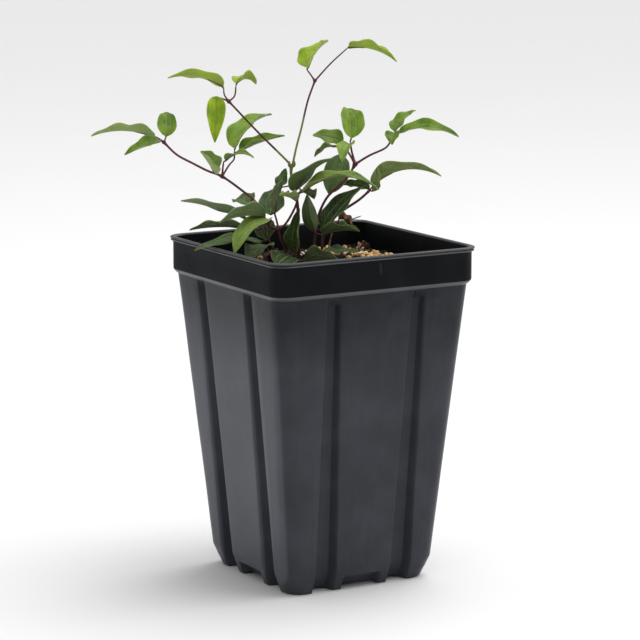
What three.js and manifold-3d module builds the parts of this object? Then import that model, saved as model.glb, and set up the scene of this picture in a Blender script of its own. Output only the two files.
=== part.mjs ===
// A young clematis in a deep square nursery pot.
// Millimetres, +Z up. The origin is the middle of the pot's foot, on the surface it stands on.
// The pot's four sides face -Y, +X, +Y and -X.

import * as THREE from 'three';
import { mergeVertices } from 'three/addons/utils/BufferGeometryUtils.js';
import Module from 'manifold-3d';

const wasm = await Module();
wasm.setup();

// ---------- driving dimensions ----------

const CLEARANCE = 0.3;            // gap kept between separate pieces

// pot, outside
const POT_HEIGHT = 204;
const FOOT_HALF = 46.9;           // half the width at the foot
const FOOT_TURN_IN = 4.6;         // how far the foot turns in below the knee
const SIDE_FLARE = 15;            // how far each side leans out, from the knee to the shoulder
const SHELF_WIDTH = 2.1;          // step from the shoulder out to the upright collar
const LIP_OVERHANG = 1.4;         // rolled lip, beyond the collar
const KNEE_HEIGHT = 13;
const COLLAR_DEPTH = 20.5;        // from the rim down to the collar's lower edge
const SHELF_HEIGHT = 2;           // sloped shelf between the sides and the collar
const LIP_HEIGHT = 3;
const LIP_ROUNDING = 0.8;
const COLLAR_ROUNDING = 0.5;      // how far the collar's lower edge turns in
const COLLAR_EDGE = 1.5;          // height of that turned edge
const CORNER_RADIUS = 10.5;
const CORNER_STEPS = 4;

// pot, walls
const SIDE_WALL = 1.2;
const COLLAR_WALL = 1.5;
const FLOOR_THICKNESS = 1.2;
const FLOOR_HEIGHT = 9;           // underside of the floor
const PAD_RADIUS = 6;             // round pad that carries the floor's middle
const PAD_SIDES = 24;
const DRAIN_RADIUS = 5;
const DRAIN_SIDES = 16;
const DRAIN_PLACE = 24;           // drain holes, from the middle along X and Y
const RECESS_HALF = 13.5;         // half the width of the recess in the foot of each side
const RECESS_TOP = 8;
const RECESS_DEPTH = 5;
const RECESS_GAP = 1.5;           // gap under the recess's back wall

// upright grooves, two on each side: values at the foot and under the collar
const PANEL_HALF_FOOT = 18.5;     // half the panel between the two grooves
const PANEL_HALF_TOP = 24.5;
const GROOVE_FOOT = 14.5;
const GROOVE_TOP = 9;
const GROOVE_DEPTH_FOOT = 6.5;
const GROOVE_DEPTH_TOP = 4;
const GROOVE_RUN = 2;             // how far each groove wall leans
const GROOVE_END = 5.5;           // sloped end of a groove, under the collar

// pot, half widths that follow
const KNEE_HALF = FOOT_HALF + FOOT_TURN_IN;
const SHOULDER_HALF = KNEE_HALF + SIDE_FLARE;
const COLLAR_HALF = SHOULDER_HALF + SHELF_WIDTH;
const LIP_HALF = COLLAR_HALF + LIP_OVERHANG;

// potting mix
const MIX_BELOW_RIM = 16.5;
const MOUND_HEIGHT = 5;
const MOUND_RADIUS = 34;
const MOUND_CENTRE = [-12, 6];
const MIX_LUMP = 0.8;
const MIX_RINGS = [0.86, 0.68, 0.5, 0.32, 0.15];

// plant
const LEAF_THICKNESS = 0.8;
const LEAF_STEPS = 6;
const LEAF_TIP = 0.7;             // width left at the two ends of a blade
const STALK_SIDES = 7;
const STALK_STEP = 7;
const PLANTING_DEPTH = 8;         // how far a stem reaches into the potting mix
const DATUM_ABOVE_MIX = 16.5;     // level that the plant's heights are measured from
const FORK_SWELLING = 1.15;       // a fork's node, as a share of the stalk's radius
const FOOT_SWELLING = 1.05;       // a planted foot, as a share of the stem's radius

// ---------- materials ----------

const plastic = new THREE.MeshStandardMaterial({ color: 0x26282b, roughness: 0.45, metalness: 0 });
const peat = new THREE.MeshStandardMaterial({ color: 0x2c2019, roughness: 0.95, metalness: 0 });
const stalkRed = new THREE.MeshStandardMaterial({ color: 0x4a2026, roughness: 0.55, metalness: 0 });
const leafYoung = new THREE.MeshStandardMaterial({ color: 0x86b032, roughness: 0.5, metalness: 0 });
const leafMid = new THREE.MeshStandardMaterial({ color: 0x4c8234, roughness: 0.5, metalness: 0 });
const leafOld = new THREE.MeshStandardMaterial({ color: 0x2c5a2c, roughness: 0.5, metalness: 0 });
const leafDry = new THREE.MeshStandardMaterial({ color: 0x8a6a55, roughness: 0.8, metalness: 0 });

// ---------- helpers ----------

const radians = THREE.MathUtils.degToRad;
const mix = THREE.MathUtils.lerp;

function toSolid(geometry) {
  const plain = geometry.clone();
  plain.deleteAttribute('normal');
  plain.deleteAttribute('uv');
  const merged = mergeVertices(plain, 1e-4);
  const mesh = new wasm.Mesh({
    numProp: 3,
    vertProperties: Float32Array.from(merged.attributes.position.array),
    triVerts: Uint32Array.from(merged.index.array),
  });
  return new wasm.Manifold(mesh);
}

function toGeometry(solid) {
  const mesh = solid.getMesh();
  const geometry = new THREE.BufferGeometry();
  geometry.setAttribute('position', new THREE.BufferAttribute(mesh.vertProperties, 3));
  geometry.setIndex(new THREE.BufferAttribute(mesh.triVerts, 1));
  geometry.computeVertexNormals();
  return geometry;
}

function named(name, geometry, material) {
  const mesh = new THREE.Mesh(geometry, material);
  mesh.name = name;
  return mesh;
}

// ---------- pot ----------

// One level of the pot's outside. Between the foot and the collar the grooves change evenly.
function level(z, half, grooved = 1) {
  const share = z / (POT_HEIGHT - COLLAR_DEPTH);
  return {
    z,
    half,
    panel: mix(PANEL_HALF_FOOT, PANEL_HALF_TOP, share),
    groove: mix(GROOVE_FOOT, GROOVE_TOP, share),
    depth: grooved * mix(GROOVE_DEPTH_FOOT, GROOVE_DEPTH_TOP, share),
  };
}

const collarFoot = POT_HEIGHT - COLLAR_DEPTH;
const shoulder = collarFoot - SHELF_HEIGHT;
const lipFoot = POT_HEIGHT - LIP_HEIGHT;

function sideHalf(z) {
  return mix(KNEE_HALF, SHOULDER_HALF, (z - KNEE_HEIGHT) / (shoulder - KNEE_HEIGHT));
}

// The square outline at one level, moved in by `inset`, anticlockwise from the middle of -Y.
function outline(at, inset) {
  const half = at.half - inset;
  const corner = Math.max(CORNER_RADIUS - inset, 1);
  const inner = at.panel - inset;
  const outer = at.panel + at.groove + inset;
  const floor = half - at.depth;
  const run = GROOVE_RUN;
  const side = [
    [-outer, half], [-outer + run, floor], [-inner - run, floor], [-inner, half],
    [inner, half], [inner + run, floor], [outer - run, floor], [outer, half],
  ];
  for (let i = 0; i <= CORNER_STEPS; i += 1) {
    const angle = (Math.PI / 2) * (1 - i / CORNER_STEPS);
    side.push([half - corner + corner * Math.cos(angle), half - corner + corner * Math.sin(angle)]);
  }
  const points = [];
  for (let turn = 0; turn < 4; turn += 1) {
    for (const [along, out] of side) {
      points.push(new THREE.Vector2(along, -out).rotateAround(new THREE.Vector2(), turn * Math.PI / 2));
    }
  }
  return points;
}

// A closed body through square outlines, lowest first. height(x, y) may lift a level's points.
function lofted(rows) {
  const count = rows[0].points.length;
  const geometry = new THREE.CylinderGeometry(1, 1, 1, count, rows.length - 1);
  const position = geometry.attributes.position;
  for (let i = 0; i < position.count; i += 1) {
    const row = rows[Math.round((position.getY(i) + 0.5) * (rows.length - 1))];
    const turn = Math.atan2(position.getX(i), position.getZ(i)) / (2 * Math.PI);
    const onAxis = Math.hypot(position.getX(i), position.getZ(i)) < 0.5;
    const point = onAxis ? new THREE.Vector2() : row.points[(Math.round(turn * count) + count) % count];
    position.setXYZ(i, point.x, point.y, row.height ? row.height(point.x, point.y) : row.z);
  }
  return geometry;
}

function shell(levels, inset) {
  return toSolid(lofted(levels.map((at) => ({ z: at.z, points: outline(at, inset) }))));
}

const grooveEnd = shoulder - GROOVE_END;
const outside = [
  level(0, FOOT_HALF),
  level(KNEE_HEIGHT, KNEE_HALF),
  level(grooveEnd, sideHalf(grooveEnd)),
  level(shoulder, SHOULDER_HALF, 0),
  level(collarFoot, COLLAR_HALF - COLLAR_ROUNDING, 0),
  level(collarFoot + COLLAR_EDGE, COLLAR_HALF, 0),
  level(lipFoot, COLLAR_HALF, 0),
  level(lipFoot + LIP_ROUNDING, LIP_HALF, 0),
  level(POT_HEIGHT - LIP_ROUNDING, LIP_HALF, 0),
  level(POT_HEIGHT, LIP_HALF - LIP_ROUNDING, 0),
];

const floorTop = FLOOR_HEIGHT + FLOOR_THICKNESS;
const collarInside = COLLAR_HALF - COLLAR_WALL + SIDE_WALL;
function footHalf(z) {
  return mix(FOOT_HALF, KNEE_HALF, z / KNEE_HEIGHT);
}
const inside = [
  level(floorTop, footHalf(floorTop)),
  level(KNEE_HEIGHT, KNEE_HALF),
  level(grooveEnd, sideHalf(grooveEnd)),
  level(shoulder, SHOULDER_HALF, 0),
  level(collarFoot + 1, collarInside, 0),
  level(POT_HEIGHT + 1, collarInside, 0),
];
const underside = [
  level(-1, footHalf(-1)),
  level(FLOOR_HEIGHT, footHalf(FLOOR_HEIGHT)),
];

function drain(x, y) {
  const hole = new THREE.CylinderGeometry(DRAIN_RADIUS, DRAIN_RADIUS, 4 * FLOOR_THICKNESS, DRAIN_SIDES);
  hole.rotateX(Math.PI / 2);
  hole.translate(x, y, FLOOR_HEIGHT);
  return toSolid(hole);
}

// The space of the recess in one side's foot, with `wall` added round it, down to `bottom`.
function footRecess(turn, wall, bottom) {
  const half = RECESS_HALF + wall;
  const top = RECESS_TOP + wall;
  const back = FOOT_HALF - RECESS_DEPTH - wall;
  const front = KNEE_HALF + wall;
  const box = new THREE.BoxGeometry(2 * half, front - back, top - bottom);
  box.translate(0, -(back + front) / 2, (bottom + top) / 2);
  box.rotateZ(turn * Math.PI / 2);
  return toSolid(box);
}

// The round pad under the floor's middle.
function floorPad() {
  const top = FLOOR_HEIGHT + FLOOR_THICKNESS / 2;
  const pad = new THREE.CylinderGeometry(PAD_RADIUS, PAD_RADIUS, top, PAD_SIDES);
  pad.rotateX(Math.PI / 2);
  pad.translate(0, 0, top / 2);
  return toSolid(pad);
}

function makePot() {
  const whole = shell(outside, 0);
  let pot = whole.subtract(shell(inside, SIDE_WALL)).subtract(shell(underside, SIDE_WALL));
  pot = pot.add(floorPad());
  for (let turn = 0; turn < 4; turn += 1) {
    pot = pot.add(footRecess(turn, SIDE_WALL, RECESS_GAP).intersect(whole));
    pot = pot.subtract(footRecess(turn, 0, -1));
  }
  for (const x of [-DRAIN_PLACE, DRAIN_PLACE]) {
    for (const y of [-DRAIN_PLACE, DRAIN_PLACE]) {
      pot = pot.subtract(drain(x, y));
    }
  }
  return named('nursery_pot', toGeometry(pot), plastic);
}

// ---------- stems and leaf stalks ----------

// Heights in the two tables below are measured from this level, which rises and falls with the mix.
const plantDatum = POT_HEIGHT - MIX_BELOW_RIM + DATUM_ABOVE_MIX;

// The low leaf that hangs over the rim rises more steeply, the further out the lip is.
const OVER_RIM_PITCH = 15 + 0.4 * (LIP_HALF - 70);

const STEMS = {
  main_shoot: {
    radius: 1.1,
    branches: [[[-11, 7, -11], [-12, 7, 8], [-12, 7, 22], [-15, 9, 39], [-15, 9, 45]]],
  },
  upper_left_stalk: {
    radius: 0.7,
    branches: [
      [[-17.5, 9.5, 48], [-35, 14, 66], [-53, 17, 85]],
      [[-53, 17, 85], [-56, 17, 89], [-57, 16, 93]],
      [[-53, 17, 85], [-58, 16, 87], [-63, 13, 88]],
      [[-53, 17, 85], [-48, 19, 88], [-46, 21, 94]],
    ],
  },
  upper_right_stalk: {
    radius: 0.7,
    branches: [
      [[-13.5, 9, 48.5], [-11, 10, 56], [-7, 11, 67], [-2, 12, 83], [3, 12, 95]],
      [[3, 12, 95], [1, 14, 99], [-2, 13, 102]],
      [[3, 12, 95], [14, 12, 105], [26, 12, 114]],
    ],
  },
  left_shoot: {
    radius: 0.8,
    branches: [
      [[-22, -1, -9], [-27, 0, 1], [-29, 1, 8], [-33, 1, 10], [-35, 4, 13], [-35, 9, 17], [-37, 13, 24],
        [-44, 21, 32], [-52, 28, 39], [-58, 35, 42], [-64, 42, 46], [-71, 50, 51], [-76, 57, 58]],
      [[-76, 57, 58], [-79, 60, 61]],
      [[-76, 57, 58], [-74, 59, 60]],
      [[-52, 28, 39], [-52, 27, 44], [-52, 26, 48]],
      [[-52, 28, 39], [-45, 32, 45], [-40, 35, 48], [-38, 38, 53]],
    ],
  },
  inner_stalk: {
    radius: 0.8,
    branches: [
      [[-28, -2.5, 10], [-25, -5, 15], [-22, -8, 23], [-21, -9, 28], [-20, -9, 31]],
    ],
  },
  folded_leaf_stalk: {
    radius: 0.7,
    branches: [
      [[-28, 3, 11], [-28, 5, 15], [-28, 7, 18]],
    ],
  },
  low_left_stalk: {
    radius: 0.7,
    branches: [[[-26, 6, -10], [-31, 8, 1], [-33, 12, 8]]],
  },
  old_stub: {
    radius: 1.4,
    branches: [[[-34, -7, -12], [-38, -8, -7], [-41, -9, -5]]],
  },
  right_shoot: {
    radius: 0.9,
    branches: [
      [[-3, 4, -10], [-1, 4, 5], [1, 4, 15], [6, 3, 25], [13, 1, 32], [18, -1, 37], [23, -2, 45]],
      [[23, -2, 45], [31, -5, 50], [39, -9, 54], [42, -10, 57], [44, -12, 62]],
      [[23, -2, 45], [23, 2, 52], [23, 4, 58]],
      [[23, -2, 45], [20, 1, 52], [18, 2, 56]],
    ],
  },
  far_right_stalk: {
    radius: 0.9,
    branches: [[[4, 6, -12], [6, 7, 1], [11, 7, 9], [18, 7, 15], [29, 4, 22], [36, 2, 28]]],
  },
  dry_stalks: {
    radius: 0.6,
    branches: [
      [[12, 13, -13], [15, 12, 2], [19, 14, 8]],
      [[19, 14, 8], [27, 12, 9], [35, 11, 11]],
    ],
  },
};

function tube(points, radius, sides = STALK_SIDES) {
  const path = new THREE.CatmullRomCurve3(points.map((p) => new THREE.Vector3(...p)));
  const ring = new THREE.Shape();
  for (let i = 0; i < sides; i += 1) {
    const angle = (2 * Math.PI * i) / sides;
    const method = i === 0 ? 'moveTo' : 'lineTo';
    ring[method](radius * Math.cos(angle), radius * Math.sin(angle));
  }
  const steps = Math.max(1, Math.round(path.getLength() / STALK_STEP));
  return new THREE.ExtrudeGeometry(ring, { steps, extrudePath: path, bevelEnabled: false });
}

function fromDatum(points) {
  return points.map(([x, y, z]) => [x, y, z + plantDatum]);
}

// The straight foot that a stem keeps inside the potting mix.
function plantedFoot([x, y, z], radius) {
  const foot = [[x, y, z + plantDatum - PLANTING_DEPTH], [x, y, z + plantDatum]];
  return toSolid(tube(foot, radius));
}

function isPlanted(stem) {
  return stem.branches[0][0][2] < 0;
}

function makeStem(name, stem) {
  let solid = null;
  for (const points of stem.branches) {
    const branch = toSolid(tube(fromDatum(points), stem.radius));
    solid = solid === null ? branch : solid.add(branch);
  }
  for (const points of stem.branches.slice(1)) {
    const joint = new THREE.IcosahedronGeometry(stem.radius * FORK_SWELLING, 1);
    joint.translate(...fromDatum([points[0]])[0]);
    solid = solid.add(toSolid(joint));
  }
  if (isPlanted(stem)) {
    solid = solid.add(plantedFoot(stem.branches[0][0], stem.radius * FOOT_SWELLING));
  }
  return named(name, toGeometry(solid), stalkRed);
}

// ---------- potting mix ----------

function mixHeight(x, y) {
  const away = Math.hypot(x - MOUND_CENTRE[0], y - MOUND_CENTRE[1]) / MOUND_RADIUS;
  const mound = MOUND_HEIGHT * Math.exp(-away * away);
  const lumps = MIX_LUMP * Math.sin(x / 7) * Math.cos(y / 6);
  return POT_HEIGHT - MIX_BELOW_RIM + mound + lumps;
}

function makeMix() {
  const inset = SIDE_WALL + CLEARANCE;
  const rows = [
    level(floorTop + CLEARANCE, footHalf(floorTop)),
    level(KNEE_HEIGHT, KNEE_HALF),
    level(grooveEnd, sideHalf(grooveEnd)),
    level(shoulder, SHOULDER_HALF, 0),
    level(collarFoot + 1, collarInside, 0),
  ].map((at) => ({ z: at.z, points: outline(at, inset) }));
  const rim = rows[rows.length - 1].points;
  rows.push({ height: mixHeight, points: rim });
  for (const share of MIX_RINGS) {
    rows.push({ height: mixHeight, points: rim.map((point) => point.clone().multiplyScalar(share)) });
  }
  let solid = toSolid(lofted(rows));
  for (const stem of Object.values(STEMS).filter(isPlanted)) {
    const [x, y, z] = stem.branches[0][0];
    const foot = z + plantDatum - PLANTING_DEPTH - CLEARANCE;
    const hole = [[x, y, foot], [x, y, POT_HEIGHT]];
    const bore = stem.radius * FOOT_SWELLING + CLEARANCE;
    solid = solid.subtract(toSolid(tube(hole, bore, STALK_SIDES * 2)));
  }
  return named('potting_mix', toGeometry(solid), peat);
}

// ---------- leaflets ----------

// name, start of the blade, heading, pitch at the start, length, width, droop, roll, fold, material
// Angles are degrees. Heading turns from +X to +Y. Droop is how far the blade bends down to its tip.
// Roll turns the blade about its own midrib. Fold lifts each half of the blade from the midrib.
const LEAFLETS = [
  ['upper_left_end', [-57.5, 15.5, 94], 165, 35, 35, 11, 50, 35, 25, leafYoung],
  ['upper_left_hanging', [-64, 12, 89], -125, -65, 28, 13, 10, -10, 35, leafYoung],
  ['upper_left_inner', [-46, 21, 95], 10, 40, 17, 12, 90, -15, 35, leafYoung],
  ['upper_right_inner', [-2, 12, 103], 20, 60, 25, 22, 45, -20, 30, leafYoung],
  ['upper_right_end', [27, 13, 114], -45, 10, 32, 12, 50, -10, 45, leafYoung],
  ['left_near_fork', [-57, 27, 41], 175, 60, 17, 20, 10, -30, 35, leafMid],
  ['left_small', [-51, 25, 49], -60, 45, 21, 8, 75, 5, 25, leafMid],
  ['left_upright', [-38, 38, 54], 15, 60, 38, 20, 60, -5, 30, leafMid],
  ['left_reaching', [-37, 34, 53], -25, 25, 29, 12, 15, 15, 40, leafMid],
  ['left_end_long', [-80, 61, 61], 165, 25, 40, 14, 45, 5, 40, leafMid],
  ['left_end_near', [-79, 56, 59], -175, -10, 26, 11, 10, -20, 40, leafMid],
  ['left_end_round', [-73, 60, 61], 60, 65, 20, 14, 45, 10, 35, leafMid],
  ['right_end_long', [46, -15, 64], -45, 25, 38, 12, 55, 25, 25, leafMid],
  ['right_end_upright', [46, -10, 64], 10, 55, 21, 12, 40, 0, 30, leafMid],
  ['right_end_hanging', [43, -14, 64], -130, -25, 10, 11, 30, 10, 35, leafMid],
  ['right_heart', [24, 4, 60], 65, 60, 28, 19, 50, 10, 40, leafMid],
  ['right_back', [19, 6, 57], 150, 30, 19, 15, 30, -30, 15, leafMid],
  ['right_pale', [20, -1, 57], -140, -10, 17, 13, 45, 5, 40, leafMid],
  ['right_small', [19, 8, 54], 105, 15, 25, 7, 65, 15, 15, leafMid],
  ['right_shade', [12, 11, 26], 40, 50, 34, 24, 25, 30, 50, leafOld],
  ['far_right_long', [37, 0, 31], -55, 45, 48, 19, 70, -15, 30, leafMid],
  ['far_right_back', [37, 4, 28], 125, 15, 20, 9, 20, -40, 45, leafOld],
  ['far_right_small', [33.5, -5, 28], -105, 65, 18, 8, 10, -50, 40, leafMid],
  ['inner_upper', [-19, -2, 31], -70, 55, 37, 19, 35, 0, 15, leafOld],
  ['inner_arching', [-19, -11, 31.5], -35, 45, 50, 12, 85, 10, 30, leafMid],
  ['inner_broad', [-28, 12, 16], 55, 35, 27, 16, 15, 5, 20, leafOld],
  ['inner_tip', [-21, 13, 32], 40, 45, 15, 7, 5, 0, 15, leafOld],
  ['inner_folded', [-30, 2, 20], -95, 85, 22, 8, 45, 0, 30, leafOld],
  ['inner_pale', [-23, -11, 27], -165, 30, 15, 10, 25, 5, 45, leafMid],
  ['inner_hanging', [-15, -3, 32], 25, -25, 15, 13, 5, 0, 25, leafOld],
  ['left_rim_upper', [-38, 0, 17], -165, 15, 38, 16, 30, 35, 45, leafOld],
  ['left_rim_pale', [-38, -4, 16], -165, 0, 35, 20, 65, 5, 15, leafMid],
  ['left_behind', [-37, 21, 22], 90, 20, 20, 14, 40, -20, 20, leafOld],
  ['low_left_back', [-40, 17, 13], 120, 20, 49, 16, 20, 30, 10, leafOld],
  ['low_left_rim', [-40, 14, 8], 120, 5, 44, 18, 20, 10, 25, leafOld],
  ['low_left_front', [-36, 8, 1], 180, OVER_RIM_PITCH, 46, 13, 35, -10, 10, leafOld],
  ['low_left_folded', [-38, -1, 0], -150, 5, 22, 18, 50, 5, 15, leafOld],
  ['low_centre', [-30, 11, 1], 65, 45, 19, 15, 30, -25, 35, leafOld],
  ['low_front', [-27, -9, -6], -140, 0, 22, 18, 15, -20, 10, leafOld],
  ['low_upright', [-19, -4, -6], 25, 85, 27, 16, 5, -20, 35, leafOld],
  ['right_upright', [-6, -3, 6], -155, 65, 25, 14, -15, 45, 50, leafOld],
  ['right_broad', [3, 0, 6], -5, 55, 35, 20, 20, 10, 25, leafOld],
  ['right_low', [-2, -6, 4], -70, 25, 29, 14, 30, -5, 45, leafOld],
  ['low_right_front', [-14, -5, -11], -55, 10, 24, 18, 15, -30, 50, leafOld],
  ['low_right_narrow', [2, -1, -6], -10, 0, 23, 7, 10, 20, 10, leafOld],
  ['dry_remnant', [20, 13, 10], -30, 15, 10, 8, 90, 20, 45, leafDry],
];

// Width along a blade, as a share of its greatest width: broad near the base, long-pointed.
function bladeShare(t) {
  return Math.sin(Math.PI * t ** 0.62) ** 0.9;
}

function makeLeaflet([name, base, ...rest]) {
  const [headingAngle, pitchAngle, length, width, ...turns] = rest;
  const [droopAngle, rollAngle, foldAngle, material] = turns;
  const heading = radians(headingAngle);
  const pitch = radians(pitchAngle);
  const droop = radians(droopAngle);
  const roll = radians(rollAngle);
  const fold = radians(foldAngle);
  const start = new THREE.Vector3(base[0], base[1], base[2] + plantDatum);
  const ahead = new THREE.Vector3(Math.cos(heading), Math.sin(heading), 0);
  const up = new THREE.Vector3(0, 0, 1);
  const left = up.clone().cross(ahead);
  const geometry = new THREE.BoxGeometry(1, 2, 1, LEAF_STEPS, 2, 1);
  const position = geometry.attributes.position;
  for (let i = 0; i < position.count; i += 1) {
    const t = position.getX(i) + 0.5;
    const across = position.getY(i);
    const bend = pitch - droop * t;
    const bent = length / droop;
    const forward = ahead.clone().multiplyScalar(Math.cos(bend)).addScaledVector(up, Math.sin(bend));
    const normal = forward.clone().cross(left);
    const side = left.clone().applyAxisAngle(forward, roll);
    normal.applyAxisAngle(forward, roll);
    const half = (width * bladeShare(t) + LEAF_TIP) / 2;
    const point = start.clone();
    point.addScaledVector(ahead, bent * (Math.sin(pitch) - Math.sin(bend)));
    point.addScaledVector(up, bent * (Math.cos(bend) - Math.cos(pitch)));
    point.addScaledVector(side, across * half * Math.cos(fold));
    point.addScaledVector(normal, Math.abs(across) * half * Math.sin(fold));
    point.addScaledVector(normal, position.getZ(i) * LEAF_THICKNESS);
    position.setXYZ(i, point.x, point.y, point.z);
  }
  return named(`leaflet_${name}`, geometry, material);
}

// ---------- assembly ----------

const clematis = new THREE.Group();
clematis.name = 'potted_clematis';
clematis.add(makePot());
clematis.add(makeMix());
for (const [name, stem] of Object.entries(STEMS)) {
  clematis.add(makeStem(name, stem));
}
for (const row of LEAFLETS) {
  clematis.add(makeLeaflet(row));
}

export default clematis;
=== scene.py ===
import math
import random

import bmesh
import bpy
from mathutils import Matrix, Quaternion, Vector, noise


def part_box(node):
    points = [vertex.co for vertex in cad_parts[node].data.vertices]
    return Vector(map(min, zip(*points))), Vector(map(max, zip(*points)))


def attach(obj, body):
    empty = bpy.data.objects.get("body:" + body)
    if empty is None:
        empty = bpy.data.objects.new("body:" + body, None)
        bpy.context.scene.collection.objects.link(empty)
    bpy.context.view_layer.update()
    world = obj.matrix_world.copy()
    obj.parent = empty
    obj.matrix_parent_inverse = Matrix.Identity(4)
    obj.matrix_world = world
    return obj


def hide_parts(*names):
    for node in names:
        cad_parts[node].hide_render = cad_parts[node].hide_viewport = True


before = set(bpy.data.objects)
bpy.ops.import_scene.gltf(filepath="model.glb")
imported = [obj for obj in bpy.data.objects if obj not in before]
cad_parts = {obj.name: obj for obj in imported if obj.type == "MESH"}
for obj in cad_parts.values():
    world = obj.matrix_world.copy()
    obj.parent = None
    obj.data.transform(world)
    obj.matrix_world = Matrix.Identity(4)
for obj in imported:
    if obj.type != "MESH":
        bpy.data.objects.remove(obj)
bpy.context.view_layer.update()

# A young clematis in a deep square nursery pot.
# Lengths are millimetres while a piece is made; make_piece turns them into metres.

MM = 0.001
SCENE = bpy.context.scene
UP = Vector((0, 0, 1))

pot_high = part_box("nursery_pot")[1]

# ---------- sizes of the pot ----------

POT_HEIGHT = pot_high.z / MM
LIP_HALF = pot_high.x / MM
FOOT_HALF = 46.9
KNEE_HALF = 51.5
SHOULDER_HALF = 66.5
COLLAR_HALF = 68.6
KNEE_HEIGHT = 13
COLLAR_DEPTH = 20.5
SHELF_HEIGHT = 2
LIP_HEIGHT = 3
CORNER_RADIUS = 10.5
CORNER_STEPS = 8
SIDE_WALL = 1.2
COLLAR_WALL = 1.5
FLOOR_HEIGHT = 9
FLOOR_THICKNESS = 1.2
PAD_RADIUS = 6
PAD_INTO_FLOOR = 0.6
DRAIN_RADIUS = 5
DRAIN_PLACE = 24
DRILL_PAST = 2
RECESS_HALF = 13.5
RECESS_TOP = 8
RECESS_DEPTH = 5
RECESS_RUN = 3
RECESS_ROOF_RUN = 0.35
RECESS_ROOF_RISE = 0.6
RECESS_GAP = 1.5
GROOVE_ARCH = 1.8
PANEL_HALF = (18.5, 24.5)
GROOVE_WIDTH = (14.5, 9)
GROOVE_DEPTH = (6.5, 4)
GROOVE_RUN = 2
GROOVE_END = 5.5
GROOVE_ARCH_RUN = (6.5, 2.5)

COLLAR_FOOT = POT_HEIGHT - COLLAR_DEPTH
SHOULDER = COLLAR_FOOT - SHELF_HEIGHT
GROOVE_TOP = SHOULDER - GROOVE_END
LIP_FOOT = POT_HEIGHT - LIP_HEIGHT
COLLAR_MIDDLE = COLLAR_FOOT + 8.5
SIDE_MIDDLE = 110
COLLAR_INSIDE = COLLAR_HALF - COLLAR_WALL
FLOOR_TOP = FLOOR_HEIGHT + FLOOR_THICKNESS

# The edges painted with a lighter highlight: the shelf's, and the two beads of the lip.
SHELF_EDGE = SHOULDER + 0.5
LOWER_BEAD = LIP_FOOT + 0.8
UPPER_BEAD = LIP_FOOT + 2.2

# How far the sides bow in between their corners, as thin moulded walls do.
BOW = 0.35
BOW_SCALE = 0.021
BOW_SEED = Vector((3.1, 7.7, 0.4))

# ---------- sizes of the potting mix ----------

MIX_GAP = 0.3
MIX_BELOW_RIM = 16.5
MOUND_HEIGHT = 5
MOUND_RADIUS = 34
MOUND_CENTRE = Vector((-12, 6))
MIX_RINGS = 44

# The unevenness of its top, as (height, how close the lumps lie).
MIX_LUMPS = ((1.5, 0.11), (0.9, 0.37), (0.5, 0.9))

# ---------- sizes of the plant: heights are measured from the pot's rim ----------

STEM_SIDES = 12
STEM_RIBS = 0.07
STEM_INTO_MIX = 6
BRANCH_SHARE = 0.8
STEM_END_SHARE = 0.55
SWELLING = 0.42
SWELLING_REACH = 1.6

# The two buds in the main shoot's fork: the fork's place, then the right-hand bud's points from there.
BUD_FORK = (-15, 9, 44)
BUD_POINTS = [(0, 0, 0), (1.6, -0.4, 1.6), (1.7, -0.6, 4.2)]

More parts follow.
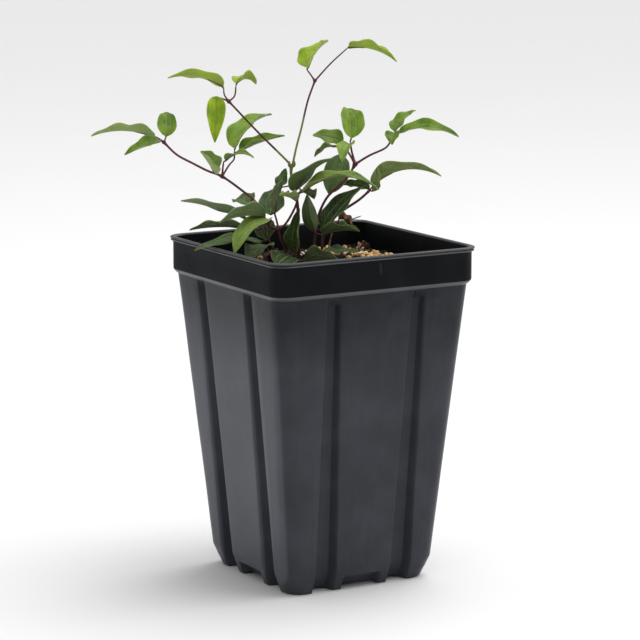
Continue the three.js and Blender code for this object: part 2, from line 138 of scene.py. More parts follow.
# Each stem: its radius, then its branches as points.
STEMS = {
    "main_shoot": (1.1, [
        [(-11, 7, -11), (-12, 7, 8), (-12, 7, 22), (-15, 9, 39), (-15, 9, 45)],
    ]),
    "upper_left_stalk": (0.7, [
        [(-15.2, 9, 44.5), (-17.5, 9.5, 48), (-35, 14, 66), (-53, 17, 85)],
        [(-53, 17, 85), (-56, 17, 89), (-57, 16, 93)],
        [(-53, 17, 85), (-58, 16, 87), (-63, 13, 88)],
        [(-53, 17, 85), (-48, 19, 88), (-46, 21, 94)],
    ]),
    "upper_right_stalk": (0.7, [
        [(-14.8, 9, 44.5), (-13.5, 9, 48.5), (-11, 10, 56), (-7, 11, 67), (-2, 12, 83), (3, 12, 95)],
        [(3, 12, 95), (1, 14, 99), (-2, 13, 102)],
        [(3, 12, 95), (14, 12, 105), (26, 12, 114)],
    ]),
    "left_shoot": (0.8, [
        [(-22, -1, -9), (-27, 0, 1), (-29, 1, 8), (-33, 1, 10), (-35, 4, 13), (-35, 9, 17), (-37, 13, 24),
         (-44, 21, 32), (-52, 28, 39), (-58, 35, 42), (-64, 42, 46), (-71, 50, 51), (-76, 57, 58)],
        [(-76, 57, 58), (-79, 60, 61)],
        [(-76, 57, 58), (-74, 59, 60)],
        [(-52, 28, 39), (-52, 27, 44), (-52, 26, 48)],
        [(-52, 28, 39), (-45, 32, 45), (-40, 35, 48), (-38, 38, 53)],
    ]),
    "inner_stalk": (0.8, [
        [(-29, 0, 8.5), (-28, -2.5, 10), (-25, -5, 15), (-22, -8, 23), (-21, -9, 28), (-20, -9, 31)],
    ]),
    "folded_leaf_stalk": (0.7, [
        [(-29, 1, 8), (-28, 3, 11), (-28, 5, 15), (-28, 7, 18)],
    ]),
    "low_left_stalk": (0.7, [
        [(-26, 6, -10), (-31, 8, 1), (-33, 12, 8)],
    ]),
    "old_stub": (1.4, [
        [(-34, -7, -12), (-38, -8, -7), (-41, -9, -5)],
    ]),
    "right_shoot": (0.9, [
        [(-3, 4, -10), (-1, 4, 5), (1, 4, 15), (6, 3, 25), (13, 1, 32), (18, -1, 37), (23, -2, 45)],
        [(23, -2, 45), (31, -5, 50), (39, -9, 54), (42, -10, 57), (44, -12, 62)],
        [(23, -2, 45), (23, 2, 52), (23, 4, 58)],
        [(23, -2, 45), (20, 1, 52), (18, 2, 56)],
    ]),
    "far_right_stalk": (0.9, [
        [(4, 6, -12), (6, 7, 1), (11, 7, 9), (18, 7, 15), (29, 4, 22), (36, 2, 28)],
    ]),
    "dry_stalks": (0.6, [
        [(12, 13, -13), (15, 12, 2), (19, 14, 8)],
        [(19, 14, 8), (27, 12, 9), (35, 11, 11)],
    ]),
}

# Each leaflet: start of the blade, heading, pitch, length, width, droop, roll, fold, finish.
# Angles are degrees. Heading turns from +X to +Y, and droop is how far the blade bends down to its tip.
# Roll turns the blade about its midrib, and fold lifts each half of it.
LEAFLETS = {
    "upper_left_end": ((-57.5, 15.5, 94), 165, 35, 35, 11, 50, 35, 25, "young"),
    "upper_left_hanging": ((-64, 12, 89), -125, -65, 28, 13, 10, -10, 35, "young"),
    "upper_left_inner": ((-46, 21, 95), 10, 40, 17, 12, 90, -15, 35, "young"),
    "upper_right_inner": ((-2, 12, 103), 20, 60, 25, 22, 45, -20, 30, "young"),
    "upper_right_end": ((27, 13, 114), -45, 10, 32, 12, 50, -10, 45, "young"),
    "left_near_fork": ((-57, 27, 41), 175, 60, 17, 20, 10, -30, 35, "green"),
    "left_small": ((-51, 25, 49), -60, 45, 21, 8, 75, 5, 25, "green"),
    "left_upright": ((-38, 38, 54), 15, 60, 38, 20, 60, -5, 30, "green"),
    "left_reaching": ((-37, 34, 53), -25, 25, 29, 12, 15, 15, 40, "green"),
    "left_end_long": ((-80, 61, 61), 165, 25, 40, 14, 45, 5, 40, "green"),
    "left_end_near": ((-79, 56, 59), -175, -10, 26, 11, 10, -20, 40, "green"),
    "left_end_round": ((-73, 60, 61), 60, 65, 20, 14, 45, 10, 35, "green"),
    "right_end_long": ((46, -15, 64), -45, 25, 38, 12, 55, 25, 25, "green"),
    "right_end_upright": ((46, -10, 64), 10, 55, 21, 12, 40, 0, 30, "green"),
    "right_end_hanging": ((43, -14, 64), -130, -25, 10, 11, 30, 10, 35, "green"),
    "right_heart": ((24, 4, 60), 65, 60, 28, 19, 50, 10, 40, "green"),
    "right_back": ((19, 6, 57), 150, 30, 19, 15, 30, -30, 15, "green"),
    "right_pale": ((20, -1, 57), -140, -10, 17, 13, 45, 5, 40, "green"),
    "right_small": ((19, 8, 54), 105, 15, 25, 7, 65, 15, 15, "green"),
    "right_shade": ((12, 11, 26), 40, 50, 34, 24, 25, 30, 50, "dark"),
    "far_right_long": ((37, 0, 31), -55, 45, 48, 19, 70, -15, 30, "green"),
    "far_right_back": ((37, 4, 28), 125, 15, 20, 9, 20, -40, 45, "dark"),
    "far_right_small": ((33.5, -5, 28), -105, 65, 18, 8, 10, -50, 40, "green"),
    "inner_upper": ((-19, -2, 31), -70, 55, 37, 19, 35, 0, 15, "dark"),
    "inner_arching": ((-19, -11, 31.5), -35, 45, 50, 12, 85, 10, 30, "green"),
    "inner_broad": ((-28, 12, 16), 55, 35, 27, 16, 15, 5, 20, "dark"),
    "inner_tip": ((-21, 13, 32), 40, 45, 15, 7, 5, 0, 15, "dark"),
    "inner_folded": ((-30, 2, 20), -95, 85, 22, 8, 45, 0, 30, "dark"),
    "inner_pale": ((-23, -11, 27), -165, 30, 15, 10, 25, 5, 45, "green"),
    "inner_hanging": ((-15, -3, 32), 25, -25, 15, 13, 5, 0, 25, "dark"),
    "left_rim_upper": ((-38, 0, 17), -165, 15, 38, 16, 30, 35, 45, "dark"),
    "left_rim_pale": ((-38, -4, 16), -165, 0, 35, 20, 65, 5, 15, "green"),
    "left_behind": ((-37, 21, 22), 90, 20, 20, 14, 40, -20, 20, "dark"),
    "low_left_back": ((-40, 17, 13), 120, 20, 49, 16, 20, 30, 10, "dark"),
    "low_left_rim": ((-40, 14, 8), 120, 5, 44, 18, 20, 10, 25, "dark"),
    "low_left_front": ((-36, 8, 1), 180, 15, 46, 13, 35, -10, 10, "dark"),
    "low_left_folded": ((-38, -1, 0), -150, 5, 22, 18, 50, 5, 15, "dark"),
    "low_centre": ((-30, 11, 1), 65, 45, 19, 15, 30, -25, 35, "dark"),
    "low_front": ((-27, -9, -6), -140, 0, 22, 18, 15, -20, 10, "dark"),
    "low_upright": ((-19, -4, -6), 25, 85, 27, 16, 5, -20, 35, "dark"),
    "right_upright": ((-6, -3, 6), -155, 65, 25, 14, -15, 45, 50, "dark"),
    "right_broad": ((3, 0, 6), -5, 55, 35, 20, 20, 10, 25, "dark"),
    "right_low": ((-2, -6, 4), -70, 25, 29, 14, 30, -5, 45, "dark"),
    "low_right_front": ((-14, -5, -11), -55, 10, 24, 18, 15, -30, 50, "dark"),
    "low_right_narrow": ((2, -1, -6), -10, 0, 23, 7, 10, 20, 10, "dark"),
    "dry_remnant": ((20, 13, 10), -30, 15, 10, 8, 90, 20, 45, "dry"),
}

LEAF_THICKNESS = 0.45
LEAF_TIP = 0.7
BLADE_STEPS = 26
BLADE_LANES = 14
WAVE_HEIGHT = 1.0
WAVE_COUNT = (1.6, 2.6)
TONE_SPREAD = 0.12
STALKLET_RADIUS = 0.5
STALKLET_BELOW = 0.35
STALKLET_ENDS = (0.03, 0.16, 0.32)

# The veins that dent a blade: place across it, depth, width.
MIDRIB_DENT = (0, 0.2, 0.1)
SIDE_VEIN_DENT = (0.48, 0.16, 0.13)

# How grey and pale a leaflet's shown side is, where it differs from the rest.
PALE = {
    "left_behind": 0.8, "low_left_folded": 0.75, "inner_pale": 0.7, "inner_hanging": 0.7,
    "right_shade": 0.75, "far_right_back": 0.6, "low_left_back": 0.85, "left_rim_pale": 0.5,
    "low_left_rim": 0.25, "far_right_long": 0.45, "inner_arching": 0.3, "left_near_fork": 0.5,
    "right_pale": 0.45, "low_left_front": 0.3, "left_end_long": 0.2, "inner_folded": 0.4,
}
# How much lighter (above 0) or deeper (below 0) a leaflet is than the rest of its finish.
TONE = {
    "left_rim_pale": 0.15, "left_rim_upper": -0.2, "low_left_front": 0.2, "right_low": 0.3,
    "low_right_front": -0.9, "right_upright": -0.8, "right_broad": -0.8, "low_centre": -0.6,
    "low_front": -0.6, "low_upright": -0.4,
    "far_right_long": -0.3, "inner_arching": -0.3, "right_shade": 0.6, "inner_pale": 0.1,
    "left_upright": 0.3, "left_small": 0.2, "right_heart": 0.3, "right_pale": 0.4,
    "upper_right_end": 0.4, "inner_upper": -0.1, "right_back": -0.2, "left_behind": 0.7,
    "low_left_back": 0.5, "left_end_long": 0.2,
}


# ---------- finishes ----------

# Painted reflection on the pot: its colour lightens from the first height down to the second, and most on
# the left side, so its top stays darker as painted shade under the collar. That side leans out as it rises:
# x plus the lean times the height passes LEFT_SIDE there.
PAINTED_SHEEN_FADE = (188, 120)
LEFT_SIDE_LEAN = 0.094
LEFT_SIDE = (-47.6, -49.3)

# A faint scratch on the front of the collar: x and height, lean, and how far forward it shows.
SCRATCH_PLACE = (0.7, 196)
SCRATCH_LEAN = 0.12
SCRATCH_FRONT = (-60, -66)


class Wire:
    """An output of a node. Arithmetic on it adds Math nodes to its finish."""

    def __init__(self, finish, socket):
        self.finish = finish
        self.socket = socket

    def math(self, operation, first, second=0.0):
        return self.finish.node("ShaderNodeMath", {"operation": operation}, {0: first, 1: second})

    def __add__(self, other):
        return self.math("ADD", self, other)

    def __radd__(self, other):
        return self.math("ADD", other, self)

    def __sub__(self, other):
        return self.math("SUBTRACT", self, other)

    def __rsub__(self, other):
        return self.math("SUBTRACT", other, self)

    def __mul__(self, other):
        return self.math("MULTIPLY", self, other)

    def __rmul__(self, other):
        return self.math("MULTIPLY", other, self)

    def __abs__(self):
        return self.math("ABSOLUTE", self)


class Finish:
    """A material and the Principled shader that its maps feed."""

    def __init__(self, name, constants=()):
        self.material = bpy.data.materials.new(name)
        self.material.use_nodes = True
        self.tree = self.material.node_tree
        self.shader = self.tree.nodes["Principled BSDF"]
        for socket, value in dict(constants).items():
            self.shader.inputs[socket].default_value = value

    def feed(self, socket, value):
        if isinstance(value, Wire):
            self.tree.links.new(value.socket, socket)
        else:
            socket.default_value = value

    def node(self, kind, settings, inputs, output=0):
        """Adds a node: its settings first, then the values or wires of its inputs."""
        made = self.tree.nodes.new(kind)
        for setting, value in settings.items():
            setattr(made, setting, value)
        for key, value in inputs.items():
            self.feed(made.inputs[key], value)
        return Wire(self, made.outputs[output])

    def surface(self, maps):
        for socket, value in maps.items():
            self.feed(self.shader.inputs[socket], value)

    def place(self, stretch=(1, 1, 1)):
        """The piece's own coordinates in millimetres, stretched along each axis."""
        scale = [share / MM for share in stretch]
        own = self.node("ShaderNodeTexCoord", {}, {}, "Object")
        return self.node("ShaderNodeMapping", {}, {"Vector": own, "Scale": scale})

    def attribute(self, name):
        return self.node("ShaderNodeAttribute", {"attribute_name": name}, {}, "Fac")

    def noise(self, place, size, detail=2.0, roughness=0.5):
        """Soft noise from about 0.3 to 0.7, whose lumps are `size` millimetres."""
        inputs = {"Vector": place, "Scale": 1 / size, "Detail": detail, "Roughness": roughness}
        return self.node("ShaderNodeTexNoise", {}, inputs, "Fac")

    def cells(self, place, size, feature="F1", output="Distance"):
        inputs = {"Vector": place, "Scale": 1 / size}
        return self.node("ShaderNodeTexVoronoi", {"feature": feature}, inputs, output)

    def fade(self, value, start, end):
        """Smoothly 0 at `start` and 1 at `end`, whichever is higher."""
        inputs = {0: value, 1: start, 2: end, 3: 0.0, 4: 1.0}
        return self.node("ShaderNodeMapRange", {"interpolation_type": "SMOOTHSTEP"}, inputs)

    def colour(self, factor, first, second):
        """Goes from the first colour to the second as the factor goes from 0 to 1."""
        ends = [end if isinstance(end, Wire) else (*end, 1) for end in (first, second)]
        settings = {"data_type": "RGBA", "clamp_factor": True}
        return self.node("ShaderNodeMix", settings, {0: factor, 6: ends[0], 7: ends[1]}, 2)

    def bump(self, height, distance, strength=1.0):
        inputs = {"Height": height, "Distance": distance * MM, "Strength": strength}
        return self.node("ShaderNodeBump", {}, inputs)


def plastic_finish(name, base, dust_and_sheen_colour, rough, gloss):
    """Moulded nursery-pot plastic: fine grain, upright flow marks, light dust, and a painted reflection that
    lightens it low down and most on the left, leaving painted shade at the top.
    """
    finish = Finish(name, {"Specular IOR Level": gloss})
    place = finish.place()
    left, front, height = [
        finish.node("ShaderNodeSeparateXYZ", {}, {"Vector": place}, axis) for axis in ("X", "Y", "Z")
    ]
    streaks = finish.noise(finish.place((1, 1, 0.06)), 3.2, 3)
    clouds = finish.noise(place, 26, 3)
    specks = finish.fade(finish.noise(place, 1.3, 2), 0.66, 0.74)
    scuffs = finish.fade(finish.noise(finish.place((0.5, 0.5, 1.6)), 7, 4, 0.65), 0.62, 0.7)
    grain = finish.noise(place, 0.35, 1)

    # Painted reflection: the colour lightens low down and most on the left side; the top stays darker as
    # painted shade under the collar.
    low_sheen = finish.fade(height, *PAINTED_SHEEN_FADE)
    left_sheen = finish.fade(left + height * LEFT_SIDE_LEAN, *LEFT_SIDE)
    scratch_x, scratch_z = SCRATCH_PLACE
    beside = abs(left - scratch_x + (height - scratch_z) * SCRATCH_LEAN)
    scratch = finish.fade(beside, 1.3, 0.2) * finish.fade(abs(height - scratch_z), 4.5, 2.5)
    mark = scratch * finish.fade(front, *SCRATCH_FRONT) * finish.fade(clouds + specks, 0.2, 0.5)
    cloudy = finish.fade(clouds, 0.35, 0.75) * 0.12 + specks * 0.07 + streaks * 0.1
    # Real dust, specks, streaks and the scratch, plus the painted reflection low down and on the left.
    dust_and_sheen = cloudy + low_sheen * 0.26 + low_sheen * left_sheen * 0.4 + mark * 0.45
    finish.surface({
        "Base Color": finish.colour(dust_and_sheen, base, dust_and_sheen_colour),
        "Roughness": rough + streaks * 0.1 + scuffs * 0.16,
        "Normal": finish.bump(grain * 0.5 + streaks * 0.8 + scuffs * 0.5, 0.06, 0.7),
    })
    return finish.material


def mix_finish(name, dark, brown, light):
    """Peat: dark lumps, browner fibres, a few pale crumbs."""
    finish = Finish(name, {"Specular IOR Level": 0.25})
    place = finish.place()
    lumps = finish.noise(place, 3.4, 5, 0.65)
    fibres = finish.noise(finish.place((0.4, 1.7, 1)), 1.6, 3)
    flecks = finish.fade(finish.noise(place, 0.9, 1), 0.68, 0.76)
    body = finish.colour(finish.fade(lumps, 0.35, 0.68), dark, brown)
    colour = finish.colour(flecks * 0.6 + finish.fade(fibres, 0.6, 0.78) * 0.3, body, light)
    finish.surface({
        "Base Color": colour,
        "Roughness": 0.8 + lumps * 0.25,
        "Normal": finish.bump(lumps + fibres * 0.4, 0.9),
    })
    return finish.material


def grain_finish(name, light, deep, rough, size):
    """Fertiliser grains and perlite: each grain has its own shade."""
    finish = Finish(name, {"Specular IOR Level": 0.4})
    place = finish.place()
    shades = finish.noise(place, size, 1)
    pits = finish.noise(place, 0.6, 3)
    finish.surface({
        "Base Color": finish.colour(finish.fade(shades, 0.36, 0.64), light, deep),
        "Roughness": rough + pits * 0.2,
        "Normal": finish.bump(pits, 0.2),
    })
    return finish.material


def stalk_finish(name, red, green, greens):
    """Stems: red-purple skin with fine ribs, turning green near the given places (point, reach)."""
    finish = Finish(name, {"Specular IOR Level": 0.4, "Subsurface Weight": 0.08})
    finish.surface({"Subsurface Radius": (0.8, 0.5, 0.3), "Subsurface Scale": MM})
    place = finish.place()
    patches = finish.noise(place, 6, 2)
    fresh = patches * 0.5 - 0.18
    for point, reach in greens:
        away = finish.node("ShaderNodeVectorMath", {"operation": "DISTANCE"}, {0: place, 1: point}, "Value")
        fresh = fresh + finish.fade(away, reach, reach * 0.35)
    fibres = finish.noise(finish.place((1, 1, 0.12)), 0.7, 2)
    skin = finish.colour(finish.fade(fibres, 0.3, 0.8) * 0.5, red, [share * 0.45 for share in red])
    finish.surface({
        "Base Color": finish.colour(finish.fade(fresh, 0.1, 0.75), skin, green),
        "Roughness": 0.42 + fibres * 0.25,
        "Normal": finish.bump(fibres, 0.15, 0.6),
    })
    return finish.material


def leaf_finish(name, deep, bright, vein, below, glow):
    """A leaf blade: blotches, palmate veins, a fine net between them, and a paler, greyer underside."""
    finish = Finish(name, {"Specular IOR Level": 0.27, "Subsurface Weight": glow})
    finish.surface({"Subsurface Radius": (0.7, 1.0, 0.25), "Subsurface Scale": 0.8 * MM})
    place = finish.place()
    across = abs(finish.attribute("across"))
    along = finish.attribute("along")
    under = finish.attribute("under")
    pale = finish.attribute("pale")
    tone = finish.attribute("tone")
    clouds = finish.noise(place, 8, 3)
    speckle = finish.noise(place, 1.2, 4, 0.65)
    midrib = finish.fade(across, 0.07, 0.02)
    side_vein = finish.fade(abs(across - 0.4 - along * 0.08), 0.05, 0.012) * finish.fade(along, 0.92, 0.7)
    comb = finish.node("ShaderNodeMath", {"operation": "PINGPONG"}, {0: along * 9.0 - across * 3.2, 1: 0.5})
    ribs = finish.fade(comb, 0.1, 0.02) * finish.fade(across, 0.02, 0.2) * 0.6
    net = finish.fade(finish.cells(place, 1.7, "DISTANCE_TO_EDGE"), 0.1, 0.02)
    veins = midrib + side_vein * 0.6 + ribs * 0.4 + net * 0.15
    panels = finish.fade(finish.noise(place, 2.6, 2), 0.46, 0.66) * finish.fade(across, 0.8, 0.25)
    margin = finish.fade(across, 0.9, 0.985)
    body = finish.colour(finish.fade(clouds, 0.36, 0.64) * 0.75 + speckle * 0.5 - 0.18, deep, bright)
    frosted = finish.colour(panels * 0.22, body, below)
    brightest = [min(1, share * 1.7) for share in bright]
    deepest = [share * 0.4 for share in deep]
    lighter = finish.colour(finish.fade(tone, 0.0, 1.0) * 0.7, frosted, brightest)
    deeper = finish.colour(finish.fade(tone, 0.0, -1.0) * 0.75, lighter, deepest)
    greyed = finish.colour(under * 0.6 + pale * 0.6 * (panels + 0.7), deeper, below)
    edged = finish.colour(margin * 0.65, greyed, vein)
    finish.surface({
        "Base Color": finish.colour(veins * 0.9, edged, vein),
        "Roughness": 0.34 + speckle * 0.3 + pale * 0.12,
        "Normal": finish.bump((1 - under * 2) * (0 - veins) + speckle * 0.7 + clouds * 2.0, 0.5, 1.0),
    })
    return finish.material


def dry_finish(name, tan, brown):
    """Dead leaves and stalks: papery, blotched brown."""
    finish = Finish(name, {"Specular IOR Level": 0.2})
    place = finish.place()
    blotches = finish.noise(place, 4, 4, 0.6)
    wrinkles = finish.noise(place, 0.8, 3)
    finish.surface({
        "Base Color": finish.colour(finish.fade(blotches, 0.36, 0.66), tan, brown),
        "Roughness": 0.7 + wrinkles * 0.25,
        "Normal": finish.bump(blotches + wrinkles * 0.6, 0.5),
    })
    return finish.material


def floor_finish(name):
    """A plain pale studio floor, barely uneven."""
    finish = Finish(name, {"Specular IOR Level": 0.15})
    clouds = finish.noise(finish.place(), 400, 2)
    finish.surface({
        "Base Color": finish.colour(clouds, (0.89, 0.89, 0.89), (0.91, 0.91, 0.91)),
        "Roughness": 0.7 + clouds * 0.1,
    })
    return finish.material


FORK = (-15, 9, POT_HEIGHT + 46)
RIGHT_STALK_FOOT = (-9, 10, POT_HEIGHT + 60)

# Each plastic's second colour is where its dust and its painted reflection lighten it.
pot_satin = plastic_finish("pot_satin", (0.0075, 0.0085, 0.011), (0.105, 0.114, 0.134), 0.27, 0.13)
# A lighter, glossier copy of the plastic: a painted highlight along the shelf's edge and the two beads of
# the lip.
pot_edge_highlight = plastic_finish("pot_edge_highlight", (0.035, 0.037, 0.042), (0.13, 0.135, 0.15), 0.35, 0.6)
# A darker, rougher copy of the plastic for the collar and the lining: its darker colour is painted shade for
# their dim reflection.
pot_matte_shaded = plastic_finish("pot_collar_shaded", (0.0055, 0.006, 0.0075), (0.034, 0.037, 0.043), 0.42, 0.04)
peat = mix_finish("peat", (0.010, 0.007, 0.005), (0.045, 0.026, 0.016), (0.13, 0.085, 0.05))
prill_tan = grain_finish("fertiliser_coat", (0.82, 0.58, 0.22), (0.40, 0.18, 0.045), 0.28, 3.2)
perlite_white = grain_finish("perlite", (0.75, 0.72, 0.66), (0.55, 0.50, 0.42), 0.75, 4)
stalk_red = stalk_finish("stalk_red", (0.105, 0.017, 0.025), (0.20, 0.21, 0.05),
                         [(FORK, 16), (RIGHT_STALK_FOOT, 20)])
dry_brown = dry_finish("dry_brown", (0.32, 0.20, 0.13), (0.12, 0.06, 0.04))
dry_pink = dry_finish("dry_stalk", (0.40, 0.25, 0.21), (0.20, 0.10, 0.08))
LEAF_FINISHES = {
    "young": leaf_finish("leaf_young", (0.195, 0.34, 0.003), (0.40, 0.56, 0.012), (0.46, 0.54, 0.12),
                         (0.33, 0.42, 0.09), 0.25),
    "green": leaf_finish("leaf_green", (0.066, 0.16, 0.004), (0.205, 0.345, 0.018), (0.36, 0.44, 0.13),
                         (0.30, 0.38, 0.15), 0.2),
    "dark": leaf_finish("leaf_dark", (0.008, 0.036, 0.002), (0.045, 0.110, 0.009), (0.22, 0.30, 0.09),
                        (0.19, 0.25, 0.12), 0.1),
}


# ---------- making pieces ----------

def make_piece(bm, name, materials, replaced=(), sharp=40):
    """Turns a bmesh in millimetres into a finished object in metres that rides on the pot."""
    bmesh.ops.recalc_face_normals(bm, faces=bm.faces)
    bmesh.ops.scale(bm, vec=(MM, MM, MM), verts=bm.verts)
    mesh = bpy.data.meshes.new(name)
    bm.to_mesh(mesh)
    bm.free()
    for material in materials:
        mesh.materials.append(material)
    mesh.shade_smooth()
    mesh.set_sharp_from_angle(angle=math.radians(sharp))
    piece = bpy.data.objects.new(name, mesh)
    SCENE.collection.objects.link(piece)
    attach(piece, "root")
    if replaced:
        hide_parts(*replaced)
    return piece


def smooth_share(value, start, end):
    """0 at `start`, 1 at `end`, eased at both."""
    share = min(1, max(0, (value - start) / (end - start)))
    return share * share * (3 - 2 * share)


def between(ends, share):
    """The value that is `share` of the way from the first end to the second."""
    return ends[0] + (ends[1] - ends[0]) * share


def new_parts(grown):
    """The vertices and the open edges of what an extrude made."""
    verts = [part for part in grown if isinstance(part, bmesh.types.BMVert)]
    edges = [part for part in grown if isinstance(part, bmesh.types.BMEdge) and part.is_boundary]
    return verts, edges


# ---------- pot ----------

# Where the pot's finishes stand in its list of materials. The first is the satin of its sides.
# The second is that darker copy: painted shade on the collar and the lining.
POT_MATTE_SHADED = 1
# The third is the painted highlight on the shelf's edge and the lip's beads.
POT_EDGE_HIGHLIGHT = 2

# Places along half of one side, from its middle to its corner: (zone, share of the zone).
WALL_SHARES = (-0.4, -0.15, 0.1, 0.35, 0.65, 0.9, 1.15, 1.4)
WALL_EASE = (-0.3, 1.3)
HALF_SIDE = (
    [("panel", share) for share in (0, 0.25, 0.5, 0.56, 0.6, 0.64, 0.68, 0.73, 0.82, 0.92)]
    + [("inner_wall", share) for share in WALL_SHARES]
    + [("groove", 0.5)]
    + [("outer_wall", share) for share in reversed(WALL_SHARES)]
    + [("corner_panel", share) for share in (0.3, 0.65, 1)]
)


class Level:
    """The pot's square outline at one height, with its grooves and recesses, moved in by `inset`."""

    def __init__(self, z, half, inset=0.0, grooved=1.0):
        share = min(1, max(0, z / COLLAR_FOOT))
        self.z = z
        self.half = half - inset
        self.corner = max(CORNER_RADIUS - inset, 1)
        self.inner = between(PANEL_HALF, share) - inset
        self.outer = between(PANEL_HALF, share) + between(GROOVE_WIDTH, share) + inset
        self.depth = grooved * between(GROOVE_DEPTH, share)
        roof = RECESS_TOP + RECESS_ROOF_RISE * inset
        self.recess = RECESS_DEPTH * smooth_share(z, roof + RECESS_ROOF_RUN, roof - RECESS_ROOF_RUN)

    def half_side(self):
        """Points from the middle of a side to the start of its corner: (along, out)."""
        points = []
        for zone, share in HALF_SIDE:
            sunk, set_back = 0.0, 0.0
            if zone == "panel":
                along = share * self.inner
                set_back = self.recess * smooth_share(along, RECESS_HALF, RECESS_HALF - RECESS_RUN)
            elif zone == "inner_wall":
                along = self.inner + share * GROOVE_RUN
                sunk = smooth_share(share, *WALL_EASE)
            elif zone == "groove":
                along = (self.inner + self.outer) / 2
                sunk = 1.0
            elif zone == "outer_wall":
                along = self.outer - share * GROOVE_RUN
                sunk = smooth_share(share, *WALL_EASE)
            else:
                edge = self.outer - WALL_SHARES[0] * GROOVE_RUN
                along = edge + share * (self.half - self.corner - edge)
            points.append((along, self.half - sunk * self.depth - set_back))
        return points

    def lift(self, along):
        """The height of a point: the foot's edge is raised in the recess of each side and in each groove."""
        arch = RECESS_GAP * smooth_share(abs(along), RECESS_HALF, RECESS_HALF - RECESS_RUN)
        middle = (self.inner + self.outer) / 2
        groove = GROOVE_ARCH * smooth_share(abs(abs(along) - middle), *GROOVE_ARCH_RUN)
        return self.z + max(arch, groove) * max(0, 1 - self.z / FLOOR_HEIGHT)

    def points(self):
        """The whole outline: the same side and corner, turned four times."""
        half = self.half_side()
        side = [(-along, out) for along, out in reversed(half[1:])] + half
        centre = self.half - self.corner
        for step in range(1, CORNER_STEPS):
            angle = math.pi / 2 * (1 - step / CORNER_STEPS)
            side.append((centre + self.corner * math.cos(angle), centre + self.corner * math.sin(angle)))
        corner_start = len(half) * 2 - 1
        ring = []
        for turn in range(4):
            for place, (along, out) in enumerate(side):
                z = self.lift(along) if place < corner_start else self.z
                ring.append(Matrix.Rotation(turn * math.pi / 2, 3, "Z") @ Vector((along, -out, z)))
        return ring


def side_half(z):
    """Half the width of the leaning sides at a height."""
    return between((KNEE_HALF, SHOULDER_HALF), (z - KNEE_HEIGHT) / (SHOULDER - KNEE_HEIGHT))


def foot_half(z):
    """Half the width of the foot, which turns in below the knee."""
    return between((FOOT_HALF, KNEE_HALF), z / KNEE_HEIGHT)


def loft(bm, rings, finishes=()):
    """A skin through rings of points, by extruding a circle from ring to ring.

    `finishes` gives the material of the bands on both sides of some of the rows."""
    count = len(rings[0])
    order = bm.verts.layers.int.new("order")
    bmesh.ops.create_circle(bm, cap_ends=False, segments=count, radius=1)
    verts = sorted(bm.verts, key=lambda vert: math.atan2(vert.co.y, vert.co.x))
    for place, vert in enumerate(verts):
        vert[order] = place
    edges = bm.edges[:]
    first = edges
    for row, ring in enumerate(rings):
        if row:
            verts, edges = new_parts(bmesh.ops.extrude_edge_only(bm, edges=edges)["geom"])
        for vert in verts:
            vert.co = ring[vert[order]]
            for face in vert.link_faces if row in finishes else []:
                face.material_index = finishes[row]
    return first, edges


def cut(piece, tool, operation):
    """Applies a boolean with a tool that is then removed."""
    modifier = piece.modifiers.new("cut", "BOOLEAN")
    modifier.operation = operation
    modifier.object = tool
    modifier.solver = "EXACT"
    bpy.context.view_layer.update()
    shaped = bpy.data.meshes.new_from_object(piece.evaluated_get(bpy.context.evaluated_depsgraph_get()))
    piece.modifiers.clear()
    piece.data = shaped
    bpy.data.objects.remove(tool)


def upright_post(name, places, radius, low, high):
    """Round posts, used to drill the drain holes and to add the pad under the floor."""
    bm = bmesh.new()
    for x, y in places:
        stand = Matrix.Translation((x, y, (low + high) / 2))
        bmesh.ops.create_cone(bm, cap_ends=True, segments=32, radius1=radius, radius2=radius,
                              depth=high - low, matrix=stand)
    bmesh.ops.scale(bm, vec=(MM, MM, MM), verts=bm.verts)
    mesh = bpy.data.meshes.new(name)
    bm.to_mesh(mesh)
    bm.free()
    post = bpy.data.objects.new(name, mesh)
    SCENE.collection.objects.link(post)
    return post


